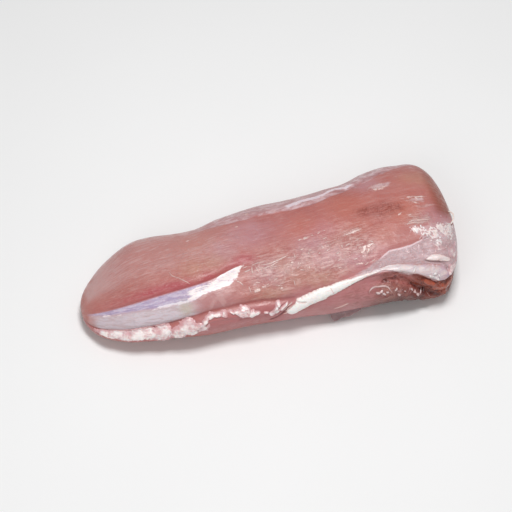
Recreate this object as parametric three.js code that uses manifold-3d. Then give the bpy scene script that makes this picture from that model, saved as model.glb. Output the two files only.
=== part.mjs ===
// A raw pork tenderloin lying on its flat underside, in millimetres, +Z up, +X towards the thick end.
// At each x the section is a rounded oval round a core line, told as a radius for every angle:
// 0 degrees looks to the far side (+Y), 90 to the top and 180 to the near side (-Y).
// Seams between the muscles are curves of angle along x; each adds a groove, a lip or a swell.
import * as THREE from "three";
import Module from "manifold-3d";

// Driving dimensions
const TAIL_X = -115.3; // tip of the thin end
const HEAD_X = 115.2; // face of the thick end
const TAIL_CAP = 44; // length over which the thin end rounds off
const HEAD_CAP = 23; // the same at the blunt thick end
const TAIL_POWER = 2.2; // superellipse powers of the two end caps
const HEAD_POWER = 2.9;
const OVAL_POWER = 2.2; // and of the section
const LEAN_FAR = 0.5; // the thick end's face leans back on the near side
const LEAN_NEAR = 3.3;
const TUCK = 3.2; // and is drawn in near the floor there, round this angle and over this width
const TUCK_AT = 180;
const TUCK_WIDTH = 16;
const RINGS = 102; // sections along the length
const FLAP_THICKNESS = 1.4;

// The section's core point and half sizes, and the seam angles, at these places along x
const STATIONS = [-115, -72, -41, -15, 9, 31, 51, 69, 87, 101, 116];
const coreY = along([-5.6, -3.6, -2.9, -2.4, -1.8, -1.3, -0.8, -0.6, -0.8, -1.2, -1.6]);
const coreZ = along([9, 13.4, 14.6, 15.3, 15.8, 16.3, 16.8, 17, 16.8, 16.4, 15]);
const farHalf = along([27, 34, 32.3, 34.5, 36.4, 36.3, 36.6, 42.9, 46.4, 46.8, 45]);
const nearHalf = along([28, 31.4, 37.9, 37, 39, 41.3, 41.9, 42.6, 43.3, 43.3, 41]);
const crown = along([14, 20.9, 23.7, 24.8, 25.2, 26.1, 27.4, 28, 28, 27.3, 24]);
const band = along([30, 31, 32, 42, 46, 48.5, 42.5, 38, 27, 22, 19]);
const crease = along([139, 131.5, 126.5, 115.5, 124, 135, 148.5, 135.5, 132, 126.5, 118]);
const groove = along([170, 165.5, 156.5, 157.3, 160, 154.3, 150, 148.8, 153.2, 159.8, 160]);
const strip = along([181, 178, 176.5, 175.5, 172, 161.5, 155, 154.5, 163.5, 169, 168]);
const hollow = along([192, 190, 189, 187, 178, 169, 160.5, 163.5, 177.5, 184, 185]);
const fatReach = along([3, 10.5, 6.5, 8, 0, -6, -6, -6, -6, -6, -6]); // the chain's fat, below the groove
const FAT_LUMP = 9; // length of a lump of it

// Folds of fat at the thick end: place along x, angle, half length, half width, height
const FOLDS = [
  [95, 148.4, 9, 2.3, 1.4],
  [104, 156, 4, 3, 1.4],
  [104, 162, 3, 2, 1.2],
];

// Edges of the strips of faces between the seams, and how many rows of faces each strip takes
const UNDER_FAR = -62;
const FAR_SIDE = -20;
const NEAR_SIDE = 208;
const ROW_COUNTS = [4, 7, 12, 6, 6, 8, 6, 4];

// A smooth curve through one value at each station, which never overshoots them
function along(values) {
  const steps = values.slice(1).map((v, i) => (v - values[i]) / (STATIONS[i + 1] - STATIONS[i]));
  const slopes = values.map((_, i) => {
    if (i === 0) return steps[0];
    if (i === values.length - 1) return steps[i - 1];
    const product = steps[i - 1] * steps[i];
    return product > 0 ? (2 * product) / (steps[i - 1] + steps[i]) : 0;
  });
  return (x) => {
    const place = THREE.MathUtils.clamp(x, STATIONS[0], STATIONS[STATIONS.length - 1]);
    let i = 0;
    while (i < steps.length - 1 && place >= STATIONS[i + 1]) i += 1;
    const h = STATIONS[i + 1] - STATIONS[i];
    const t = (place - STATIONS[i]) / h;
    const rise = t * t * (3 - 2 * t);
    const bend = slopes[i] * (t - 2 * t * t + t * t * t) + slopes[i + 1] * (t * t * t - t * t);
    return values[i] + (values[i + 1] - values[i]) * rise + h * bend;
  };
}

// Small profiles across a seam, q being the arc distance past it in millimetres
const dip = (q, width) => Math.exp(-((q / width) ** 2));
const lip = (q, width) => (q < 0 ? 1.87 * Math.exp(q / width) * (1 - Math.exp((4 * q) / width)) : 0);
const arch = (q, span) => Math.sin(Math.PI * THREE.MathUtils.clamp(q / span, 0, 1)) ** 0.8;

// 1 between two places along x, easing to 0 over the ramp at both
function between(x, from, to, ramp) {
  return THREE.MathUtils.smoothstep(Math.min(x - from, to - x), 0, ramp);
}

// What the seams and the slow swells add to the oval's radius r at x and angle deg
function relief(x, deg, r) {
  const past = (seam) => THREE.MathUtils.degToRad(deg - seam(x)) * r;
  const v = THREE.MathUtils.degToRad(deg);
  const u = (x + 11.3) / 41;
  const toStrip = THREE.MathUtils.degToRad(strip(x) - groove(x)) * r;
  // the silverskin band along the far edge stands a little proud
  let out = 0.55 * between(x, -41, 93, 14) * (1 - Math.tanh(past(band) / 1.5));
  // the upper muscle overlaps the one below it, along a crease that dies out past the middle
  out += between(x, -142, -8, 24) * (0.9 * lip(past(crease), 9) - 0.8 * dip(past(crease) - 1, 3));
  // the near groove, with the chain muscle standing out below it
  const chain = 0.8 * lip(past(groove), 8) - 1.5 * dip(past(groove), 2.4) + 1.8 * dip(past(groove) - 8, 6);
  out += between(x, -142, 19, 24) * chain;
  // fat in rounded lumps along the chain muscle
  const fat = THREE.MathUtils.smoothstep(Math.min(past(groove) - 0.5, fatReach(x) - past(groove)), 0, 2.2);
  out += fat * (1 + 0.5 * Math.cos((2 * Math.PI * x) / FAT_LUMP + past(groove) / 3));
  // the tendon strip, and the ridge of fat it runs into at the thick end
  out += between(x, -7, 139, 20) * (0.9 + 0.9 * between(x, 49, 149, 20)) * arch(past(groove), toStrip);
  // the flank: a torn hollow below the ridge, and the outer roll of muscle
  out += between(x, 41, 139, 26) * (1.8 * dip(past(hollow) - 9.5, 7) - 3 * dip(past(hollow), 3.4));
  // the membrane at the thick end is let in a little below the main muscle
  out += between(x, 55, 139, 22) * (0.9 * lip(past(crease), 7) - dip(past(crease) - 1.5, 2.5));
  for (const [at, angle, length, width, height] of FOLDS) {
    out += height * dip(Math.hypot((x - at) / length, past(() => angle) / width), 1);
  }
  // slow swells all over
  out += 0.55 * Math.sin(2.1 * u + 1.3 * Math.sin(v + 0.6 * u)) * Math.cos(2 * v + 0.7 * u);
  return out + 0.35 * Math.sin(4.3 * u + 2 * v + 1.1);
}

// The surface point at x, with the section shrunk by the share that the end caps leave
function surface(x, share, deg) {
  const v = THREE.MathUtils.degToRad(deg);
  const c = Math.cos(v);
  const s = Math.sin(v);
  const wide = c > 0 ? farHalf(x) : nearHalf(x);
  const high = s > 0 ? crown(x) : 1.3 * coreZ(x);
  const oval = (Math.abs(c / wide) ** OVAL_POWER + Math.abs(s / high) ** OVAL_POWER) ** (-1 / OVAL_POWER);
  const full = share * (oval + relief(x, deg, oval));
  const toFloor = s < 0 ? coreZ(x) / -s : Infinity;
  const r = Math.min(full, toFloor);
  const lean = THREE.MathUtils.clamp((x - 58.7) / 56, 0, 1) ** 2;
  const side = THREE.MathUtils.clamp((r * c) / 45, -1, 1);
  const shift = side * (side > 0 ? LEAN_FAR : LEAN_NEAR) - TUCK * dip(deg - TUCK_AT, TUCK_WIDTH);
  return [x + lean * shift, coreY(x) + r * c, full < toFloor ? coreZ(x) + r * s : 0];
}

// Place and share of ring i: even steps along the middle, and round the superellipse caps at the ends
function ring(i) {
  const tailArc = TAIL_CAP * 1.35;
  const headArc = HEAD_CAP * 1.9;
  const straight = HEAD_X - HEAD_CAP - (TAIL_X + TAIL_CAP);
  const s = (i / (RINGS - 1)) * (tailArc + straight + headArc);
  if (s < tailArc) {
    const phi = (s / tailArc) * (Math.PI / 2);
    const back = TAIL_CAP * (1 - Math.cos(phi) ** (2 / TAIL_POWER));
    return [TAIL_X + back, Math.sin(phi) ** (2 / TAIL_POWER)];
  }
  if (s > tailArc + straight) {
    const phi = ((s - tailArc - straight) / headArc) * (Math.PI / 2);
    const out = HEAD_CAP * (Math.sin(phi) ** (2 / HEAD_POWER) - 1);
    return [HEAD_X + out, Math.max(Math.cos(phi), 0) ** (2 / HEAD_POWER)];
  }
  return [TAIL_X + TAIL_CAP + s - tailArc, 1];
}

// The angles of the rows of faces at x, so that edges run along the seams
function rowAngles(x) {
  const edges = [UNDER_FAR, FAR_SIDE, band(x), crease(x), groove(x), strip(x), hollow(x), NEAR_SIDE];
  edges.push(UNDER_FAR + 360);
  return ROW_COUNTS.flatMap((count, k) =>
    Array.from({ length: count }, (_, j) => edges[k] + ((edges[k + 1] - edges[k]) * j) / count),
  );
}

function muscleGeometry() {
  const rows = ROW_COUNTS.reduce((sum, count) => sum + count, 0);
  const positions = [TAIL_X, coreY(TAIL_X), coreZ(TAIL_X)];
  for (let i = 1; i < RINGS - 1; i += 1) {
    const [x, share] = ring(i);
    for (const deg of rowAngles(x)) positions.push(...surface(x, share, deg));
  }
  positions.push(HEAD_X, coreY(HEAD_X), coreZ(HEAD_X));
  const last = positions.length / 3 - 1;
  const index = [];
  for (let j = 0; j < rows; j += 1) {
    const k = (j + 1) % rows;
    index.push(0, 1 + k, 1 + j);
    for (let i = 0; i < RINGS - 3; i += 1) {
      const a = 1 + i * rows;
      const b = a + rows;
      index.push(a + j, a + k, b + k, a + j, b + k, b + j);
    }
    const end = 1 + (RINGS - 3) * rows;
    index.push(last, end + j, end + k);
  }
  const geometry = new THREE.BufferGeometry();
  geometry.setAttribute("position", new THREE.Float32BufferAttribute(positions, 3));
  geometry.setIndex(index);
  return geometry;
}

// The loose scrap of membrane that hangs from the near flank
function flapGeometry() {
  const outline = new THREE.Shape();
  outline.moveTo(28, 15);
  outline.quadraticCurveTo(28.6, 6, 31.4, 0.9);
  outline.quadraticCurveTo(35, 1, 38.5, 3);
  outline.quadraticCurveTo(42.5, 5.5, 47, 9);
  outline.lineTo(47, 15);
  const options = { depth: FLAP_THICKNESS, bevelEnabled: false, curveSegments: 6 };
  const geometry = new THREE.ExtrudeGeometry(outline, options);
  geometry.rotateX(Math.PI / 2);
  geometry.translate(0, -39.4, 0);
  return geometry;
}

const wasm = await Module();
wasm.setup();

function toSolid(geometry) {
  const source = geometry.getAttribute("position").array;
  const indices = geometry.index ? geometry.index.array : Uint32Array.from({ length: source.length / 3 }, (_, i) => i);
  const mesh = new wasm.Mesh({
    numProp: 3,
    vertProperties: Float32Array.from(source),
    triVerts: Uint32Array.from(indices),
  });
  mesh.merge();
  return new wasm.Manifold(mesh);
}

const joined = toSolid(muscleGeometry()).add(toSolid(flapGeometry())).getMesh();
const geometry = new THREE.BufferGeometry();
geometry.setAttribute("position", new THREE.BufferAttribute(joined.vertProperties, 3));
geometry.setIndex(new THREE.BufferAttribute(joined.triVerts, 1));
geometry.computeBoundingBox();
const box = geometry.boundingBox;
geometry.translate(-(box.min.x + box.max.x) / 2, -(box.min.y + box.max.y) / 2, 0);
geometry.computeVertexNormals();

const meat = new THREE.MeshStandardMaterial({ color: 0xc07f78, roughness: 0.4, metalness: 0 });
const tenderloin = new THREE.Mesh(geometry, meat);
tenderloin.name = "tenderloin";

const part = new THREE.Group();
part.add(tenderloin);

export default part;
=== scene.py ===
"""A raw pork tenderloin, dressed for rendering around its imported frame."""

import itertools
import math

import bpy
import numpy as np
from bpy.props import FloatProperty, FloatVectorProperty, IntProperty, PointerProperty
from bpy.types import Operator, Panel, PropertyGroup
from mathutils import Matrix, Vector


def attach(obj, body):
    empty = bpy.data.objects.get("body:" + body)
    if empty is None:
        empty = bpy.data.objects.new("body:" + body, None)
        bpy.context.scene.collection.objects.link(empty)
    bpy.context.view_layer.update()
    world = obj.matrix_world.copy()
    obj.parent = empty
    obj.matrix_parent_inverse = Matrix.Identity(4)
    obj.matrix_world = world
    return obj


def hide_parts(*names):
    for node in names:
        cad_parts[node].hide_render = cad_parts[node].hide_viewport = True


bl_info = {
    "name": "Pork tenderloin",
    "version": (1, 0, 0),
    "blender": (4, 5, 0),
    "location": "3D View > Sidebar > Tenderloin",
    "description": "Makes the surface, fat, membranes and studio of a raw pork tenderloin",
    "category": "Object",
}

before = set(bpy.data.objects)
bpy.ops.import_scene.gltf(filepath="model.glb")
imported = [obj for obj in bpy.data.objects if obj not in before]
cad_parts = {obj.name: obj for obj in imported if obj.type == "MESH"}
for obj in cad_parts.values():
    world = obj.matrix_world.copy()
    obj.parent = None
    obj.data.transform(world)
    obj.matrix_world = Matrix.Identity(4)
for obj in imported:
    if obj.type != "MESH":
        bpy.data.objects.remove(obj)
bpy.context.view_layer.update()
MM = 0.001

# The solid's own measures, in millimetres and degrees, as the frame has them
TAIL_X, HEAD_X = -115.3, 115.2
TAIL_CAP, HEAD_CAP = 44.0, 23.0
TAIL_POWER, HEAD_POWER, OVAL_POWER = 2.2, 2.9, 2.2
LEAN_FAR, LEAN_NEAR = 0.5, 3.3
LEAN_START, LEAN_RUN, HALF_WIDTH = 58.7, 56.0, 45.0
SWELL_START, SWELL_RUN = -11.3, 41.0
TUCK, TUCK_AT, TUCK_WIDTH = 3.2, 180.0, 16.0
UNDER_FAR, FAR_SIDE, NEAR_SIDE = -62.0, -20.0, 208.0
STATIONS = (-115, -72, -41, -15, 9, 31, 51, 69, 87, 101, 116)
FOLDS = ((95, 148.4, 9, 2.3, 1.4), (104, 156, 4, 3, 1.4), (104, 162, 3, 2, 1.2))
# The circle that grain coordinates run round, how deep the underside of a patch lies, and how
# far along the meat a patch may reach
GRAIN_RADIUS, PATCH_DEPTH, LAST_X = 35.0, 1.6, 113.5


def through(stations, values):
    """A smooth curve of x through one value at each station: cubic pieces whose slope at a
    station is the harmonic mean of the steps beside it, or 0 where they change sign."""
    places, heights = np.array(stations, float), np.array(values, float)
    gaps = np.diff(places)
    steps = np.diff(heights) / gaps
    slopes = np.concatenate([steps[:1], np.zeros(len(steps) - 1), steps[-1:]])
    same = steps[:-1] * steps[1:] > 0
    sums = np.where(same, steps[:-1] + steps[1:], 1)
    slopes[1:-1] = np.where(same, 2 * steps[:-1] * steps[1:] / sums, 0)

    def curve(x):
        x = np.clip(x, places[0], places[-1])
        i = np.clip(np.searchsorted(places, x, side="right") - 1, 0, len(gaps) - 1)
        t = (x - places[i]) / gaps[i]
        rise = t * t * (3 - 2 * t)
        bend = slopes[i] * (t - 2 * t * t + t**3) + slopes[i + 1] * (t**3 - t * t)
        return heights[i] + (heights[i + 1] - heights[i]) * rise + gaps[i] * bend

    return curve


def along(*values):
    """A smooth curve through one value at each of the solid's stations."""
    return through(STATIONS, values)


core_y = along(-5.6, -3.6, -2.9, -2.4, -1.8, -1.3, -0.8, -0.6, -0.8, -1.2, -1.6)
core_z = along(9, 13.4, 14.6, 15.3, 15.8, 16.3, 16.8, 17, 16.8, 16.4, 15)
far_half = along(27, 34, 32.3, 34.5, 36.4, 36.3, 36.6, 42.9, 46.4, 46.8, 45)
near_half = along(28, 31.4, 37.9, 37, 39, 41.3, 41.9, 42.6, 43.3, 43.3, 41)
crown = along(14, 20.9, 23.7, 24.8, 25.2, 26.1, 27.4, 28, 28, 27.3, 24)
band = along(30, 31, 32, 42, 46, 48.5, 42.5, 38, 27, 22, 19)
crease = along(139, 131.5, 126.5, 115.5, 124, 135, 148.5, 135.5, 132, 126.5, 118)
groove = along(170, 165.5, 156.5, 157.3, 160, 154.3, 150, 148.8, 153.2, 159.8, 160)
strip = along(181, 178, 176.5, 175.5, 172, 161.5, 155, 154.5, 163.5, 169, 168)
hollow = along(192, 190, 189, 187, 178, 169, 160.5, 163.5, 177.5, 184, 185)
fat_reach = along(3, 10.5, 6.5, 8, 0, -6, -6, -6, -6, -6, -6)


# Edges of what grows on the muscle, each a curve of angle along x
# the white end of the silverskin at the thin end, partly its own white and partly a painted highlight:
# its top and bottom edges
glare_top = through(
    (-72, -60, -54.6, -52.2, -48, -44.2, -39.8, -37.8, -34.7, -32.6, -29.4, -20),
    (145, 144, 141.6, 138.5, 136.2, 135, 133.1, 130.5, 125.5, 122.5, 119, 114),
)
glare_low = through(
    (-67, -60.6, -54.6, -48.7, -45.4, -41.8, -36, -24.6),
    (145, 144.1, 143.3, 142, 139.8, 138.1, 136.9, 135.4),
)
# the tendon's top and bottom edges, the lower lobe starting first
tendon_top = through(
    (1.4, 3, 5, 7, 7.7, 8.3, 9.7, 12.6, 17.8, 23.5, 29.5, 34.6, 39.6, 46.6, 52, 60),
    (169.9, 168.3, 166.5, 164.5, 162.6, 160.9, 160.4, 159.3,
     157.1, 155.7, 155, 153.7, 153, 151.7, 150.8, 149.4),
)
tendon_low = through(
    (1.4, 3.2, 4.7, 7.4, 10, 13, 16.1, 21.4, 24.7, 27.4, 30.6, 36.3, 41.7, 47, 52, 60),
    (171.4, 173.6, 174.6, 174, 172.6, 171.5, 169.3, 167.3,
     166.2, 164.2, 162.8, 160.1, 157.5, 155.2, 152.8, 150.8),
)
# the crack between the tendon's two lobes
tendon_crack = through((7.2, 8.3, 9.2, 11, 13.7, 16), (161.6, 162.7, 163.4, 163.9, 164.1, 164.1))
# the fold of fat along the top of the hollow
fold_top = through(
    (49, 53, 56.3, 60.5, 65.7, 69.8, 74.2, 81.8, 87, 92.2, 96.4, 99, 101.5, 103.6),
    (151.4, 150.6, 149.5, 149, 148.3, 148.6, 149.6, 151.8, 152.8, 154, 155.5, 157.5, 160.6, 163.9),
)
fold_low = through(
    (44.5, 50, 54.7, 61, 65.8, 68.9, 72.9, 77, 80.2, 83.8, 87.3, 90.6, 94.2, 97, 99.5, 103.6),
    (156.6, 153.4, 152.1, 150.6, 151.8, 154.1, 157.3, 159,
     157.8, 159.8, 163.4, 166.6, 169, 168.8, 167.4, 165.4),
)
# the membrane at the thick end: its upper edge
membrane_top = through(
    (45.5, 49, 52.7, 55.7, 59, 62.3, 65.3, 67.4, 71.3, 79.3, 83.7, 90.9, 95.8, 99.4, 103.9, 110.7),
    (149.9, 148.4, 146.7, 144.1, 142.2, 139.6, 137.5, 136,
     136, 135.2, 133.6, 130.5, 129.7, 127.9, 124.7, 120.9),
)
# the dark cut along the bottom of the hollow, and the split in the raw end beside it
cut = through(
    (55, 59, 64.9, 69.8, 76, 83.4, 88.7, 93.2, 99),
    (162.5, 162.9, 163, 165, 170.5, 177, 181.4, 185.9, 190),
)
split = through((94, 97.7, 100.6, 104.6), (169.8, 174.4, 179, 186.8))
# the crack between the folds at the thick end, and the white fold's top and bottom edges
head_crack = through(
    (86, 88.6, 92.2, 95, 97, 98.6, 100.2, 101.3, 102.2),
    (149.2, 150.4, 151.6, 152.5, 153.8, 155.5, 157.3, 159.3, 162),
)
head_fold_top = through(
    (87, 88.5, 90.2, 93, 97.1, 100.2, 103, 104.6),
    (149.2, 147.8, 146.6, 145.9, 146.7, 148.6, 151.2, 153),
)
head_fold_low = through(
    (87, 88.6, 92.2, 95, 98, 101, 104.6), (149.7, 150.2, 151.1, 151.8, 152.8, 153.6, 154.4)
)
# the blood between the chain's end and the tendon
wedge = through((-9, -5.4, -3, -0.6, 1.1, 3.2, 5), (181, 177.7, 174.5, 171.1, 169.6, 166.2, 163.4))
# pale rims low on the near side
low_rim = through(
    (62, 69.8, 76.5, 83.4, 90.7, 98.2, 104), (175, 177.3, 180, 183.4, 186.9, 191, 193)
)
# the silverskin of the far side: its edge on the top, and the bright streak in it
far_low = through(
    (-40, -19, -6.6, 5.8, 12, 18, 24, 30, 36.6, 43, 50, 56.5, 63.4, 70.2, 77.4, 84.6, 90, 110),
    (42, 46, 46, 45.9, 46.3, 48.9, 50.7, 51.2, 50.5, 48, 46.2, 43.9, 40.9, 39, 34.1, 30.4, 28, 20),
)
far_core = through((10, 16, 25.7, 37.5, 46.8, 54, 65.5, 80), (42, 43, 41.5, 43, 37.5, 38.5, 34, 27))


# Shapes of one number
def smooth(value, low, high):
    """0 below low and 1 above high, with an S-shaped rise between them."""
    t = np.clip((value - low) / (high - low), 0, 1)
    return t * t * (3 - 2 * t)


def between(x, start, stop, ramp):
    """1 between start and stop, easing to 0 over the ramp at both."""
    return smooth(np.minimum(x - start, stop - x), 0, ramp)


def dip(q, width):
    """A bell: 1 at 0, falling off over the width."""
    return np.exp(-((q / width) ** 2))


def lip(q, width):
    """A rounded edge that rises on the negative side and drops sharply at 0."""
    q = np.minimum(q, 0)
    return 1.87 * np.exp(q / width) * (1 - np.exp(4 * q / width))


def arch(q, span):
    """A rounded rise from 0 at q = 0 to 0 at q = span."""
    return np.sin(np.pi * np.clip(q / span, 0, 1)) ** 0.8


def noise(points, seed):
    """Smooth noise from -1 to 1: a random number at each corner of a cubic grid one unit
    across, blended inside each cell by S-shaped weights."""
    table = np.random.default_rng(seed).uniform(-1, 1, (32, 32, 32))
    cell = np.floor(points).astype(int)
    t = points - cell
    t = t * t * (3 - 2 * t)
    total = 0
    for corner in itertools.product((0, 1), repeat=3):
        at = (cell + corner) % 32
        weight = np.prod(np.where(np.array(corner) == 1, t, 1 - t), axis=-1)
        total = total + weight * table[at[..., 0], at[..., 1], at[..., 2]]
    return total


def share_at(x):
    """The share of a section that the superellipse end caps leave at x."""
    tail = np.clip((TAIL_X + TAIL_CAP - x) / TAIL_CAP, 0, 1)
    head = np.clip((x - HEAD_X + HEAD_CAP) / HEAD_CAP, 0, 1)
    return (1 - tail**TAIL_POWER) ** (1 / TAIL_POWER) * (1 - head**HEAD_POWER) ** (1 / HEAD_POWER)


class Section:
    """The tenderloin's surface as a function of x and an angle. At each x it is an oval of
    half sizes near, far and crown round a core line, told as a radius for every angle, with
    a groove, lip or swell along each seam, shrunk by superellipse caps at both ends and cut
    off flat at the floor."""

    def __init__(self, x, deg):
        self.x, self.deg = np.broadcast_arrays(np.clip(x, TAIL_X, HEAD_X), deg)
        self.share = share_at(self.x)
        v = np.radians(self.deg)
        self.c, self.s = np.cos(v), np.sin(v)
        wide = np.where(self.c > 0, far_half(self.x), near_half(self.x))
        high = np.where(self.s > 0, crown(self.x), 1.3 * core_z(self.x))
        power = OVAL_POWER
        total = np.abs(self.c / wide) ** power + np.abs(self.s / high) ** power
        self.oval = total ** (-1 / power)

    def past(self, seam):
        """Arc distance past a seam, in millimetres; seam is a curve or a plain angle."""
        angle = seam(self.x) if callable(seam) else seam
        return np.radians(self.deg - angle) * self.oval

    def relief(self):
        """What the seams and slow swells add to the oval, as in the solid."""
        x, past = self.x, self.past
        v, u = np.radians(self.deg), (self.x - SWELL_START) / SWELL_RUN
        strip_width = np.radians(strip(x) - groove(x)) * self.oval
        out = 0.55 * between(x, -41, 93, 14) * (1 - np.tanh(past(band) / 1.5))
        edge = 0.9 * lip(past(crease), 9) - 0.8 * dip(past(crease) - 1, 3)
        out = out + between(x, -142, -8, 24) * edge
        chain = 0.8 * lip(past(groove), 8) - 1.5 * dip(past(groove), 2.4)
        chain = chain + 1.8 * dip(past(groove) - 8, 6)
        out = out + between(x, -142, 19, 24) * chain
        out = out + smooth(np.minimum(past(groove) - 0.5, fat_reach(x) - past(groove)), 0, 2.2)
        ridge = 0.9 + 0.9 * between(x, 49, 149, 20)
        out = out + between(x, -7, 139, 20) * ridge * arch(past(groove), strip_width)
        flank = 1.8 * dip(past(hollow) - 9.5, 7) - 3 * dip(past(hollow), 3.4)
        out = out + between(x, 41, 139, 26) * flank
        membrane = 0.9 * lip(past(crease), 7) - dip(past(crease) - 1.5, 2.5)
        out = out + between(x, 55, 139, 22) * membrane
        for at, angle, length, width, height in FOLDS:
            out = out + height * dip(np.hypot((x - at) / length, past(angle) / width), 1)
        swell = 0.55 * np.sin(2.1 * u + 1.3 * np.sin(v + 0.6 * u)) * np.cos(2 * v + 0.7 * u)
        return out + swell + 0.35 * np.sin(4.3 * u + 2 * v + 1.1)

    def points(self, extra=0.0):
        """Surface points in millimetres; extra is fine relief in millimetres on top."""
        cy, cz = core_y(self.x), core_z(self.x)
        full = self.share * (self.oval + self.relief()) + extra
        down = np.maximum(-self.s, 1e-9)
        r = np.where(self.s < 0, np.minimum(full, cz / down), full)
        lean = np.clip((self.x - LEAN_START) / LEAN_RUN, 0, 1) ** 2
        side = np.clip(r * self.c / HALF_WIDTH, -1, 1)
        tuck = TUCK * dip(self.deg - TUCK_AT, TUCK_WIDTH)
        shift = side * np.where(side > 0, LEAN_FAR, LEAN_NEAR) - tuck
        height = np.maximum(cz + r * self.s, 0)
        return np.stack([self.x + lean * shift, cy + r * self.c, height], -1)


def grain_of(run, area):
    """Coordinates for patterns that are stretched along the fibres: the run along the meat,
    and a place on a circle of one radius round it."""
    around = GRAIN_RADIUS * area.c, GRAIN_RADIUS * area.s
    return np.stack(np.broadcast_arrays(run, *around), -1)


def rings(count):
    """Places of the sections along x, and the run of each along the meat: even steps along
    the middle and even angles round the superellipse caps."""
    tail_arc, head_arc = TAIL_CAP * 1.35, HEAD_CAP * 1.9
    straight = HEAD_X - HEAD_CAP - (TAIL_X + TAIL_CAP)
    s = np.linspace(0, tail_arc + straight + head_arc, count)
    a = np.clip(s / tail_arc, 0, 1) * np.pi / 2
    b = np.clip((s - tail_arc - straight) / head_arc, 0, 1) * np.pi / 2
    tail = TAIL_X + TAIL_CAP * (1 - np.maximum(np.cos(a), 0) ** (2 / TAIL_POWER))
    head = HEAD_X + HEAD_CAP * (np.sin(b) ** (2 / HEAD_POWER) - 1)
    middle = TAIL_X + TAIL_CAP + s - tail_arc
    return np.where(s < tail_arc, tail, np.where(s > tail_arc + straight, head, middle)), s


def row_angles(x, counts):
    """Angles of the rows at each x, evenly spread between the seams."""
    flat = np.ones_like(x)
    edges = [UNDER_FAR * flat, FAR_SIDE * flat, band(x), crease(x), groove(x), strip(x)]
    edges += [hollow(x), NEAR_SIDE * flat, (UNDER_FAR + 360) * flat]
    parts = [
        a[:, None] + (b - a)[:, None] * np.arange(n) / n
        for a, b, n in zip(edges[:-1], edges[1:], counts)
    ]
    return np.concatenate(parts, axis=1)


# Soft ellipses of the tints on the muscle: x, angle, half length, half width, tilt in degrees
AREAS = dict(
    # faint smears of film in the muscle, partly painted highlights standing for wet glints
    film=(
        (73, 52, 7, 3.0, -8), (90, 79, 6, 3.0, 10), (95, 90, 6, 1.2), (88, 110, 9, 2.4),
        (54.5, 130.5, 6, 3.4, -30), (48, 108.5, 7, 1.2, -10), (-68, 24, 4, 1.6),
        (-44.6, 55, 2.6, 1.0), (-8, 39, 2.4, 1.2), (30, 118, 8, 1.4, -10),
    ),
    # soft mauve patches of film on the far side of the top and at the thick end
    haze=(
        (74.5, 51.5, 5.4, 1.9, -8), (79, 49.6, 3.0, 1.3), (92, 80, 3.4, 1.0, 10),
        (89, 122, 5, 3, 20), (97, 128, 8, 5, 10), (104.5, 126, 7, 5.6),
    ),
    # where loose strands of film lie thick; their pale strokes are partly painted highlights standing
    # for wet glints
    wisps_and_glints=(
        (-7, 131, 9, 9), (6, 134, 11, 8), (16, 128, 8, 6), (34, 138, 10, 7), (46, 124, 12, 8),
        (-2, 144, 12, 5), (90, 108, 8, 5),
    ),
    # greyish and lilac, beige, and orange
    ash=(
        (-5, 131, 10, 7), (8, 132, 8, 5), (32, 131, 9, 5), (22, 114, 9, 5), (43, 139, 9, 4),
        (66, 44, 8, 5), (-10, 70, 14, 10), (-28, 92, 8, 7), (100, 112, 9, 8),
    ),
    beige=(
        (12, 141, 9, 5), (-4, 151, 9, 3), (5, 128, 5, 4), (98, 48, 9, 6), (24, 148, 9, 4),
        (-34, 106, 8, 6), (-48, 108, 7, 6),
    ),
    rust=(
        (38, 144, 7, 2.4), (52, 73, 14, 9), (105, 62, 6, 11), (65, 118, 9, 6), (20, 80, 10, 7),
        (54, 101, 9, 7), (-42, 70, 9, 8), (82, 96, 12, 9),
    ),
    # the hatched patch on the top, and the brightest raw flesh at the thick end
    dark=((70, 86, 9, 5), (60, 84, 5, 3.4), (78, 88, 4, 3), (106, 97, 4, 3)),
    vivid=(
        (86, 166, 4, 1.6, 20), (92, 171.5, 5, 2, 30), (98, 177.5, 4.5, 2.6, 40),
        (103, 184, 3, 3),
    ),
)


def blot(area, x, deg, length, width, tilt=0.0):
    """A soft ellipse on the surface: 1 at its middle, falling off over its half sizes."""
    u, v = area.x - x, area.past(deg)
    c, s = math.cos(math.radians(tilt)), math.sin(math.radians(tilt))
    far = ((c * u + s * v) / length) ** 2 + ((c * v - s * u) / width) ** 2
    return np.exp(-(far**1.3) * 0.7)


def greatest(area, places):
    """The greatest of several soft ellipses."""
    return np.maximum.reduce([blot(area, *place) for place in places])


def warped(area, place, amount, size):
    """The same area seen through a wandering shift of the given amount, in millimetres."""
    u, v = (amount * noise(place / size, seed) for seed in (15, 16))
    return Section(area.x + u, area.deg + np.degrees(v / area.oval))


def textures(place):
    """The three noises, of 9, 3.2 and 1.5 mm, that every field of the meat shares."""
    return [noise(place / size, seed) for size, seed in ((9.0, 1), (3.2, 2), (1.5, 3))]


def torn_field(area, n2):
    """1 on the raw brown flesh between the fold of fat and the dark cut."""
    above = smooth(-area.past(cut) + 0.8 * n2, -1.2, 0.4) * smooth(area.past(fold_low), -0.6, 0.8)
    return above * between(area.x, 54, 86, 9)


def cut_field(area, n2):
    """1 along the dark cut at the bottom of the hollow, deepest towards the thick end."""
    strength = (0.45 + 0.55 * smooth(area.x, 70, 86)) * (0.75 + 0.5 * n2)
    return strength * dip(area.past(cut) + 1.5 * n2, 1.3) * between(area.x, 57, 99, 6)


def coarse_field(area):
    """1 on the near half of the top, where the muscle is roughest, and less at the thin end."""
    near = smooth(area.deg, 84, 116) * smooth(-area.past(groove), 0, 6)
    near = near * between(area.x, -34, 76, 24)
    thin_end = smooth(area.deg, 44, 80) * smooth(-area.past(crease), 0, 3)
    thin_end = thin_end * between(area.x, -112, -8, 20)
    return np.maximum(near, 0.65 * thin_end)


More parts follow.
